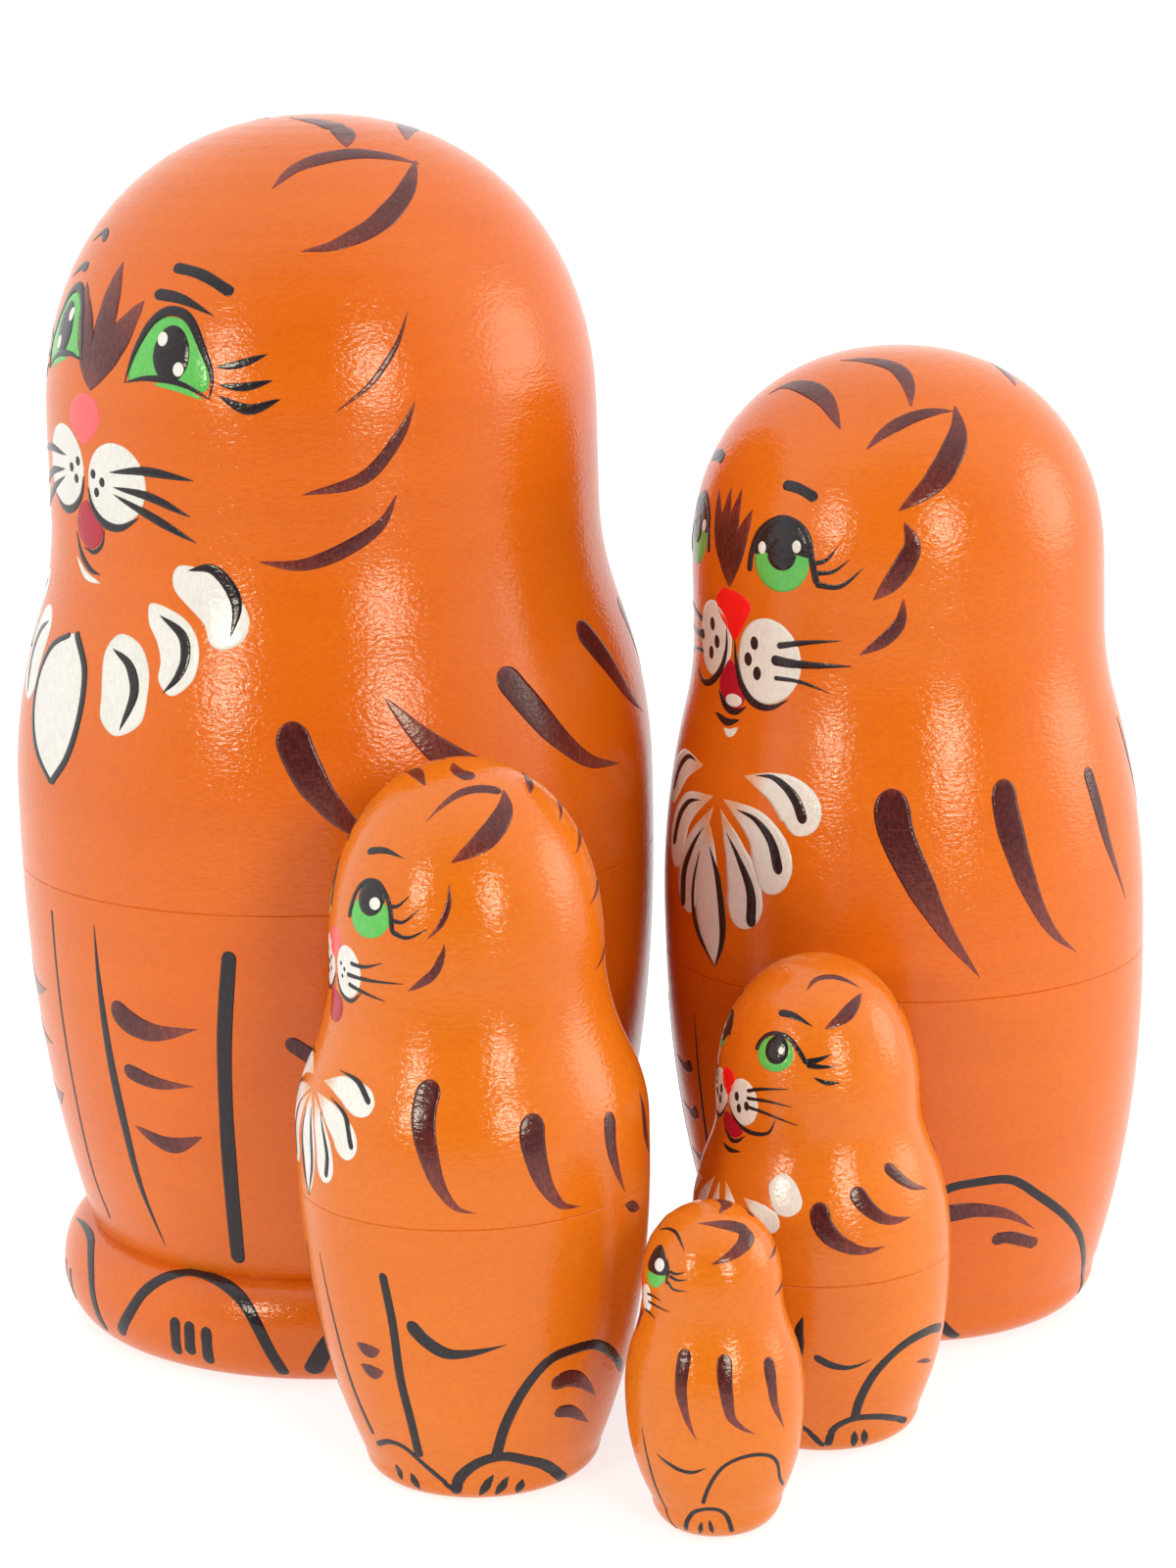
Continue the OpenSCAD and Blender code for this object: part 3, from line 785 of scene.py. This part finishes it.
def doll_2_chest(d):
    d.stroke(WHITE, [(2, 55), (-0.5, 62), (-1.5, 68), (-1.5, 75)], 6.6)
    d.stroke(DARK, [(-4.5, 71), (-7, 65), (-5.5, 60), (2, 55)], 1, leaf, 1)
    d.stroke(DARK, [(2, 55), (4.5, 58.5), (5, 62), (3, 68), (-0.5, 72)], 1.5, leaf, 1)
    for side in sides(1):
        d.stroke(WHITE, side([(27.5, 75.5), (26.5, 79), (20.5, 81.5), (9.5, 82.7)]), 6.8, drop)
        d.stroke(WHITE, side([(19.5, 67), (19.5, 72), (15, 76), (3, 79)]), 6.8, drop)
        d.stroke(WHITE, side([(10.8, 61.5), (12, 66), (9.5, 71), (2.5, 77.5)]), 6.8, drop)
        d.stroke(DARK, side([(28, 77.3), (25, 80.7), (19, 83), (13, 83)]), 1.7, drop, 1)
        d.stroke(DARK, side([(22, 70), (19.5, 74.3), (14.5, 77), (8, 78)]), 1.7, drop, 1)
        d.stroke(DARK, side([(14.2, 62), (14, 67), (10, 71.3), (5.5, 74.5)]), 1.9, drop, 1)


def doll_2_body(d):
    doll_2_chest(d)
    d.pair(BROWN, [(49, 82.5), (50, 77), (55, 70), (61, 63), (69, 56)], 5, drop)
    d.pair(BROWN, [(77, 83), (77, 79), (79, 73), (83, 66), (88, 61), (95, 57.5)], 4, drop)
    d.pair(BROWN, [(104, 82.5), (106, 77.5), (109, 71), (116, 62.5)], 2.3, drop)
    d.pair(BROWN, [(130, 87), (135, 80), (141, 73)], 2.4)
    d.pair(DARK, [
        (44, 6), (47, 14), (53, 22), (61, 25.5), (69, 26.3), (78, 26), (86, 23), (98, 18), (108, 13),
        (118, 6), (120, 2.5),
    ], 1.3, bar)
    d.pair(BROWN, [(56, 21), (62, 21.8), (69, 22), (78, 20.7), (87, 17.5)], 2.6, drop)
    d.pair(BROWN, [(74, 17), (79, 17), (88.5, 15)], 1.9, bar)
    d.pair(DARK, [(35, 1.6), (42, 6), (50, 7.5), (57, 6), (67, 1.3)], 1.6, bar)
    d.pair(DARK, [(12, 8), (9, 30), (8, 47)], 1.4, tail)
    d.pair(DARK, [(34, 46), (32, 28), (29, 9)], 1.7, bar)
    for z in (38, 31, 24):
        d.pair(BROWN, [(12, z + 0.5), (18, z - 0.7), (25, z)], 1.9, drop)


# Doll 3

def doll_3_head(d):
    for side in sides():
        d.ovals(GREEN, side([(25, 76.8)]), 11.5, 2.7)
        d.ovals(DARK, side([(25, 79)]), 8, 2.2, 1)
        lid = [(12, 76), (13, 78), (16, 80), (21, 81), (28, 81), (32.5, 80), (36, 78.4), (38, 75.3)]
        d.stroke(DARK, side(lid), 0.7, bar, 1)
        d.ovals(WHITE, side([(28, 78.5)]), 3.2, 0.8, 2)
        d.stroke(DARK, side([(35, 78.4), (40, 78.6), (45.5, 80)]), 0.6, tail)
        d.stroke(DARK, side([(36.5, 76.8), (43, 76.7), (50, 78.4)]), 0.6, tail)
        d.stroke(DARK, side([(37.5, 75.4), (45, 74.8), (54, 76)]), 0.7, tail)
        d.stroke(DARK, side([(15, 84.3), (27, 84.8), (40, 84.2)]), 1, drop)
        d.ovals(WHITE, side([(11, 69)]), 9.8, 3.4)
        d.stroke(DARK, side([(1, 68), (6, 66), (14, 65.4), (21, 66.8)]), 0.6, leaf, 1)
        d.ovals(DARK, side([(6, 69.8), (9, 69.2), (7, 68.2)]), 0.8, 0.3, 1)
        for hair in (
            [(14, 70.3), (23, 70.3), (33, 71.2)],
            [(11, 68.7), (25, 68.7), (43, 68.9)],
            [(12, 67.5), (22, 67), (34, 66.4)],
        ):
            d.stroke(DARK, side(hair), 0.7, tail, 1)
    d.patch(PINK, [(-9, 73), (-3, 74), (4, 73.5), (6, 72), (1, 70.5), (-3, 70), (-9, 71.5)])
    d.patch(CRIMSON, [(-6, 66.3), (-1, 66), (7, 65), (8, 63.2), (4, 62), (-4, 62.6)])
    d.pair(BROWN, [(63, 81.4), (63, 79.2), (59.5, 76.6), (54, 74.8)], 0.8)
    d.pair(BROWN, [(61, 74.2), (60, 72.8), (56, 70.4), (45, 68)], 1.2)
    d.pair(BROWN, [(104, 91.2), (87, 91.7), (69, 91.4), (55, 90), (48, 88.5)], 1.5, drop)
    d.pair(BROWN, [(107, 91.3), (100, 89.6), (90, 87.8), (79, 86), (64, 83.9)], 2.9)
    d.stroke(BROWN, [(-40, 91.8), (-24, 92.7), (8, 92.8), (34, 92)], 1.7)
    for side in sides(180):
        d.stroke(BROWN, side([(84, 92.7), (64, 93.4), (40, 93.9)]), 2.6, tail)
        d.stroke(BROWN, side([(160, 92), (150, 91.4), (128, 90.3)]), 1.3)
        for z in (87.5, 83.5, 77, 68.5):
            d.stroke(BROWN, side([(162, z + 0.5), (150, z), (136, z - 1)]), 0.9, drop)


def doll_3_chest(d):
    d.stroke(WHITE, [(2.5, 39.9), (4, 44), (3.5, 48), (1, 53)], 4)
    d.stroke(DARK, [(2.5, 39.8), (6.5, 44), (6.5, 48), (4, 51.5)], 0.8, leaf, 1)
    d.stroke(DARK, [(2.5, 39.8), (-1, 43), (-1.5, 47), (0, 51)], 0.6, leaf, 1)
    for side in sides(2):
        d.stroke(WHITE, side([(35, 53.3), (28, 54.3), (18, 55.2), (7, 55)]), 4.2, drop)
        d.stroke(WHITE, side([(27.5, 46.8), (24, 49.7), (15, 52), (5, 53.5)]), 4.1, drop)
        d.stroke(WHITE, side([(14.5, 42.7), (14.5, 47), (10, 50.5), (4, 53)]), 3.9, drop)
        d.stroke(DARK, side([(33.5, 54), (26, 56.2), (15, 56.9)]), 0.9, drop, 1)
        d.stroke(DARK, side([(28.5, 48.2), (24, 52), (15, 53.6)]), 0.9, drop, 1)
        d.stroke(DARK, side([(15.5, 43.5), (16.5, 47), (11, 51.5)]), 0.9, drop, 1)


def doll_3_body(d):
    doll_3_chest(d)
    d.pair(BROWN, [
        (56, 57.5), (54, 54.7), (54, 52), (56, 48.5), (59, 44.8), (64, 42), (70, 41.2),
    ], 3.3, drop)
    d.pair(BROWN, [(91, 53), (89, 50.6), (90, 47), (93, 43.6), (98, 41), (105, 40.2)], 3.3, drop)
    d.pair(BROWN, [(120, 51), (119, 47), (122, 43), (126, 39.9)], 2.2, drop)
    d.pair(BROWN, [(126, 38.2), (130, 37.5), (137, 36.3)], 1.5)
    d.pair(BROWN, [(143, 51), (144, 46), (150, 42)], 1.9)
    d.pair(DARK, [(16, 8), (12, 14.7), (10, 24), (7, 32.5)], 0.9, tail)
    d.pair(DARK, [(41, 6.5), (41, 12), (40, 18), (40, 26), (38, 32.7)], 1.3, bar)
    d.pair(DARK, [(46, 26.5), (51, 24.2), (58, 22.5), (65, 22.4), (79, 23.4)], 1.9, drop)
    for z in (21.5, 18.5):
        d.pair(BROWN, [(22, z + 0.3), (27.5, z - 0.3), (33, z + 0.2)], 2)
    d.pair(DARK, [
        (75, 7), (79, 12), (86, 17), (95, 20.4), (106, 21), (115, 20.5), (126, 18), (140, 14),
    ], 1.4, bar)
    d.pair(BROWN, [(96, 16.5), (103, 17), (110, 15.8), (120, 12.8)], 2.5, drop)
    d.pair(BROWN, [(99, 12.5), (107, 11.8), (120, 8.8)], 1.9, drop)
    d.pair(DARK, [(16, 6.5), (26, 7.8), (34, 7.6), (42, 5.5), (54, 2)], 0.8, bar)
    d.pair(DARK, [(55, 1.3), (59, 4), (68, 6.3), (78, 7), (88, 6), (99, 4.4), (114, 1)], 1.5, bar)
    for claw in (
        [(25, 4.2), (26, 2)],
        [(33, 3.5), (36, 1.2)],
        [(74, 4.2), (67, 1)],
        [(81, 3.7), (75, 1)],
        [(88, 3), (86, 0.9)],
    ):
        d.pair(DARK, claw, 1.2)


# Doll 4

def doll_4_head(d):
    near_eye = (34, 54.3), (35, 54.8), (38, 54.8)
    far_eye = (-26, 54.6), (-21, 55.3), (-27, 55.2)
    for centre, pupil, glint in (near_eye, far_eye):
        d.oval(GREEN, centre, 12, 2.2)
        d.oval(DARK, pupil, 8, 1.8, 1)
        d.oval(WHITE, glint, 2, 0.5, 2)
    for side in sides(5, 0.4):
        lid = [(20.5, 54.4), (22, 55.5), (27, 56.5), (34, 56.8), (42, 56.4), (49, 55), (54, 53.4)]
        d.stroke(DARK, side(lid), 0.6, bar, 1)
        d.stroke(DARK, side([(53, 53.5), (61, 53.9), (69, 54.5)]), 0.9, drop)
        d.stroke(DARK, side([(54, 53.2), (63, 53), (72, 53)]), 0.7, drop)
        d.stroke(DARK, side([(58, 51.7), (65, 51), (73, 50.9)]), 0.6)
    for side in sides():
        d.stroke(DARK, side([(31, 59.2), (43, 59), (58, 57.8)]), 1, drop)
        d.ovals(WHITE, side([(13, 47.3)]), 12, 3.1)
        d.ovals(DARK, side([(8.9, 47.9), (10.8, 46.4), (17, 47)]), 1.9, 0.65, 1)
        smile = [(1, 46.5), (6, 45), (15, 43.8), (25, 43.6), (32, 44.1), (36, 45.8)]
        d.stroke(DARK, side(smile), 0.6, leaf, 1)
        for hair in (
            [(17, 49), (26, 49.6), (44, 50.1)],
            [(17, 48.1), (32, 48.2), (46, 47.8)],
            [(16, 47), (30, 46.6), (49, 45.4)],
        ):
            d.stroke(DARK, side(hair), 0.6, tail, 1)
    d.patch(RED, [(-9, 50.3), (-4, 51), (1, 51), (6, 50.2), (5, 48.7), (0, 47.5), (-6, 48.5)])
    d.patch(CRIMSON, [(-4, 45), (3, 45.2), (10, 44.3), (14, 43.3), (8, 42.3), (0, 42.5), (-7, 43.5)])
    d.stroke(DARK, [(-5, 43), (4, 41.9), (10, 42), (16, 43)], 0.6)
    d.stroke(DARK, [(-3, 41), (5, 40.6), (14, 40.8)], 0.6)
    d.pair(BROWN, [(106, 61.5), (96, 62.5), (80, 63), (60, 62.8), (51, 61.7)], 0.9)
    d.pair(BROWN, [(104, 60.9), (91, 59.8), (80, 58.7), (66, 57.5)], 1.8)
    for side in sides(180):
        for z in (58, 53, 47):
            d.stroke(BROWN, side([(164, z + 0.3), (154, z), (143, z - 0.7)]), 0.8, drop)


def doll_4_body(d):
    for side in sides(4):
        d.patch(WHITE, side([
            (35, 37.4), (37, 38.6), (42, 39.2), (47, 38.6), (51, 37), (52, 35.5), (49, 34.4), (44, 34),
            (39, 34.7),
        ]))
        d.stroke(WHITE, side([(41, 32.2), (33, 34), (22, 35.6)]), 3, drop)
        d.stroke(WHITE, side([(20, 30.5), (16, 33.5), (9, 36.8)]), 3, drop)
    d.stroke(WHITE, [(4, 29), (4, 32.5), (4, 36.5)], 2.8, drop)
    d.pair(BROWN, [(60, 36), (61, 33.4), (66, 31.4), (74, 30), (81, 29.5), (89, 29.7)], 2.7, drop)
    d.pair(BROWN, [(76.5, 37.5), (82, 35.1), (89, 33.4), (96, 32.7), (105, 32.6)], 2.3, drop)
    d.pair(BROWN, [(96, 39.6), (103, 37.6), (110, 36.2), (121, 35)], 1.7, drop)
    d.pair(BROWN, [(152, 39), (158, 36.5), (168, 35)], 1.5, drop)
    d.pair(DARK, [(52, 21), (50, 18.7), (51, 15.5)], 1.3)
    d.pair(DARK, [(18, 6), (14, 13), (12, 21)], 0.8, tail)
    d.pair(DARK, [(56.5, 15.5), (63, 14.3), (70, 13.7), (76, 13.8), (83, 14.5)], 1, drop)
    d.pair(DARK, [
        (77, 5.5), (79, 8.7), (85, 12.2), (95, 14.8), (106, 16), (120, 16), (133, 15),
    ], 1.3, bar)
    d.pair(BROWN, [(111, 12.2), (119, 11.6), (128, 10.7)], 0.7)
    d.pair(DARK, [(62, 1.6), (66, 4.3), (74, 5.5), (82, 5.7), (96, 5), (119, 2.8)], 1, bar)
    d.pair(DARK, [(20, 4.4), (30, 5.6), (40, 5.4), (49, 4.2), (60, 1.5)], 0.8, bar)
    for claw in ([(78, 3.7), (79, 1)], [(84, 3.7), (86, 1.2)]):
        d.pair(DARK, claw, 1)


# Doll 5

def doll_5_head(d):
    for side in sides():
        d.patch(GREEN, side([
            (16, 33.8), (26, 34.6), (36, 35), (42, 34.8), (40, 33.6), (31, 32.5), (18, 32.8),
        ]))
        d.patch(DARK, side([
            (15, 34.4), (17, 36.4), (24, 37.5), (33, 37.1), (40, 36), (43.5, 34.6), (30, 34.1),
        ]), 1)
        d.stroke(DARK, side([(40, 36.4), (44, 35), (43, 33.4)]), 0.4, leaf, 1)
        d.ovals(WHITE, side([(33, 35.4)]), 6.5, 0.8, 2)
        d.patch(WHITE, side([
            (11, 32), (20, 32.2), (24, 30.8), (23, 29.4), (15, 28.9), (8, 29.4), (6, 30.8),
        ]))
        for lash in (
            [(45, 35), (53, 34.9), (61, 35.3)],
            [(46, 34.5), (54, 34.2), (63, 34.4)],
            [(44, 33.8), (51, 33), (63, 33)],
        ):
            d.stroke(DARK, side(lash), 0.45, tail)
        for hair in (
            [(18, 31.2), (28, 31.3), (38, 31.1)],
            [(20, 30.3), (33, 30.2), (46, 30)],
            [(14, 29), (24, 28.9), (31, 28.6)],
        ):
            d.stroke(DARK, side(hair), 0.4, tail, 1)
        d.stroke(DARK, side([(4, 38.5), (22, 39.2), (39, 39.1), (57, 37.6)]), 0.45)
        d.stroke(DARK, side([(10, 28.9), (3, 27), (4, 25.8)]), 0.45)
    d.oval(RED, (0, 32), 5, 0.9)
    d.oval(CRIMSON, (0, 27.4), 6, 1.1)
    d.pair(BROWN, [(135, 39), (127, 39.5), (113, 40), (90, 40.3), (64, 40.3)], 1.8, drop)
    d.pair(BROWN, [(136, 39.3), (122, 38.2), (108, 37.4), (96, 36.8), (84, 36.3)], 2.4, tail)
    d.stroke(BROWN, [(230, 41.2), (170, 41.3), (105, 41)], 2.2, tail)
    d.stroke(BROWN, [(168, 39.8), (180, 40.1), (192, 40.5)], 1.5, tail)
    for side in sides(180):
        for z in (35.8, 31.2):
            d.stroke(BROWN, side([(172, z + 0.3), (158, z), (145, z - 0.3)]), 0.5)


def doll_5_body(d):
    d.pair(BROWN, [(63, 26), (62, 23.4), (62, 21.3), (64, 19.3), (67, 17.2), (72, 15)], 1.8, drop)
    d.pair(BROWN, [(92, 25.5), (91, 22.7), (92, 20.3), (94, 18), (100, 16.6), (110, 15.3)], 1.9, drop)
    d.pair(BROWN, [(125, 24.3), (124, 21), (125, 18.5), (133, 15)], 1.7, drop)
    d.stroke(BROWN, [(180, 23.5), (180, 20.5), (182, 17.5)], 1.5, drop)
    d.pair(DARK, [(30, 15), (31, 12.5), (32, 10), (32, 7), (33, 4), (37, 1)], 0.45)
    d.pair(DARK, [(42, 12.2), (51, 11.3), (59, 10.7), (68, 10.6), (77, 11.3)], 0.6)
    d.pair(DARK, [
        (73, 6), (77, 8), (83, 10.2), (90, 11.7), (100, 12.5), (110, 12.6), (121, 12), (129, 10.6),
        (136, 8), (146, 6.4),
    ], 0.5, bar)
    d.pair(DARK, [(51, 1.4), (57, 3.2), (65, 4.6), (75, 5.2), (85, 5.1), (92, 4), (98, 1.5)], 0.6, bar)
    for claw in ([(70, 3.2), (66, 1.2)], [(77, 3.5), (79, 1.4)]):
        d.pair(DARK, claw, 0.6)


# Stage

def area_light(name, round_it, up_it, size, power):
    """A round soft light, so many degrees round from the studio's front and up from its floor."""
    a, e = math.radians(STUDIO_FRONT + round_it), math.radians(up_it)
    away = Vector((math.sin(a) * math.cos(e), -math.cos(a) * math.cos(e), math.sin(e)))
    data = bpy.data.lights.new(name, "AREA")
    data.shape = "DISK"
    data.size = size
    data.energy = power
    data.color = LAMP_COLOUR
    light = bpy.data.objects.new(name, data)
    light.location = STUDIO_MIDDLE + away * LAMP_DISTANCE
    light.rotation_euler = away.to_track_quat("Z", "Y").to_euler()
    bpy.context.scene.collection.objects.link(light)


def fade_to_front(tree, coordinates, fade, glow):
    """A glow that changes smoothly between two places on the way to the front of the studio."""
    place = tree.nodes.new("ShaderNodeTexCoord")
    a = math.radians(STUDIO_FRONT)
    toward = tree.nodes.new("ShaderNodeVectorMath")
    toward.operation = "DOT_PRODUCT"
    toward.inputs[1].default_value = (math.sin(a), -math.cos(a), 0)
    tree.links.new(place.outputs[coordinates], toward.inputs[0])
    limits = dict(From_Min=fade[0], From_Max=fade[1], To_Min=glow[0], To_Max=glow[1])
    made = add_node(tree, "ShaderNodeMapRange", **limits)
    made.interpolation_type = "SMOOTHSTEP"
    tree.links.new(toward.outputs["Value"], made.inputs["Value"])
    return made.outputs["Result"]


def floor():
    """A plain pale floor that glows a little, so that shadows on it are faint, and less so in front."""
    mesh = bpy.data.meshes.new("floor")
    corners = [(x * FLOOR_HALF, y * FLOOR_HALF, 0) for x, y in ((-1, -1), (1, -1), (1, 1), (-1, 1))]
    mesh.from_pydata(corners, [], [(0, 1, 2, 3)])
    made = bpy.data.objects.new("floor", mesh)
    bpy.context.scene.collection.objects.link(made)
    material, tree, shader = fresh_material("floor", 0)
    shader.inputs["Base Color"].default_value = (FLOOR_GREY, FLOOR_GREY, FLOOR_GREY, 1)
    shader.inputs["Roughness"].default_value = 0.8
    shader.inputs["Emission Color"].default_value = (1, 1, 1, 1)
    glow = fade_to_front(tree, "Object", FLOOR_FADE, FLOOR_GLOW)
    tree.links.new(glow, shader.inputs["Emission Strength"])
    mesh.materials.append(material)


def surround():
    """White all round, dimmer in front."""
    world = bpy.data.worlds.new("surround")
    bpy.context.scene.world = world
    world.use_nodes = True
    tree = world.node_tree
    background = tree.nodes["Background"]
    background.inputs["Color"].default_value = (1, 1, 1, 1)
    glow = fade_to_front(tree, "Generated", SURROUND_FADE, SURROUND_GLOW)
    tree.links.new(glow, background.inputs["Strength"])


def studio():
    floor()
    surround()
    for name, lamp in LAMPS.items():
        area_light(name, *lamp)
    bpy.context.scene.view_settings.view_transform = "Standard"


def camera():
    """The camera of the photograph, with its shift and slight roll."""
    data = bpy.data.cameras.new("camera")
    data.sensor_fit = "VERTICAL"
    data.sensor_height = 24
    data.lens = FOCAL_PX / IMAGE_H * data.sensor_height
    data.shift_x = (IMAGE_W / 2 - MIDDLE_PX[0]) / IMAGE_H
    data.shift_y = (MIDDLE_PX[1] - IMAGE_H / 2) / IMAGE_H
    data.clip_start = 0.01
    a, p = math.radians(CAMERA_AZIMUTH), math.radians(CAMERA_PITCH)
    look = Vector((-math.sin(a) * math.cos(p), math.cos(a) * math.cos(p), -math.sin(p)))
    turn = look.to_track_quat("-Z", "Y").to_matrix().to_4x4()
    roll = Matrix.Rotation(math.radians(CAMERA_ROLL), 4, "Z")
    made = bpy.data.objects.new("camera", data)
    made.matrix_world = Matrix.Translation(CAMERA_PLACE) @ turn @ roll
    bpy.context.scene.collection.objects.link(made)
    bpy.context.scene.camera = made


PAINTING = {
    1: (doll_1_head, doll_1_body),
    2: (doll_2_head, doll_2_body),
    3: (doll_3_head, doll_3_body),
    4: (doll_4_head, doll_4_body),
    5: (doll_5_head, doll_5_body),
}

camera()
studio()
for number, painters in PAINTING.items():
    doll = Doll(number)
    for painter in painters:
        painter(doll)
    doll.finish()
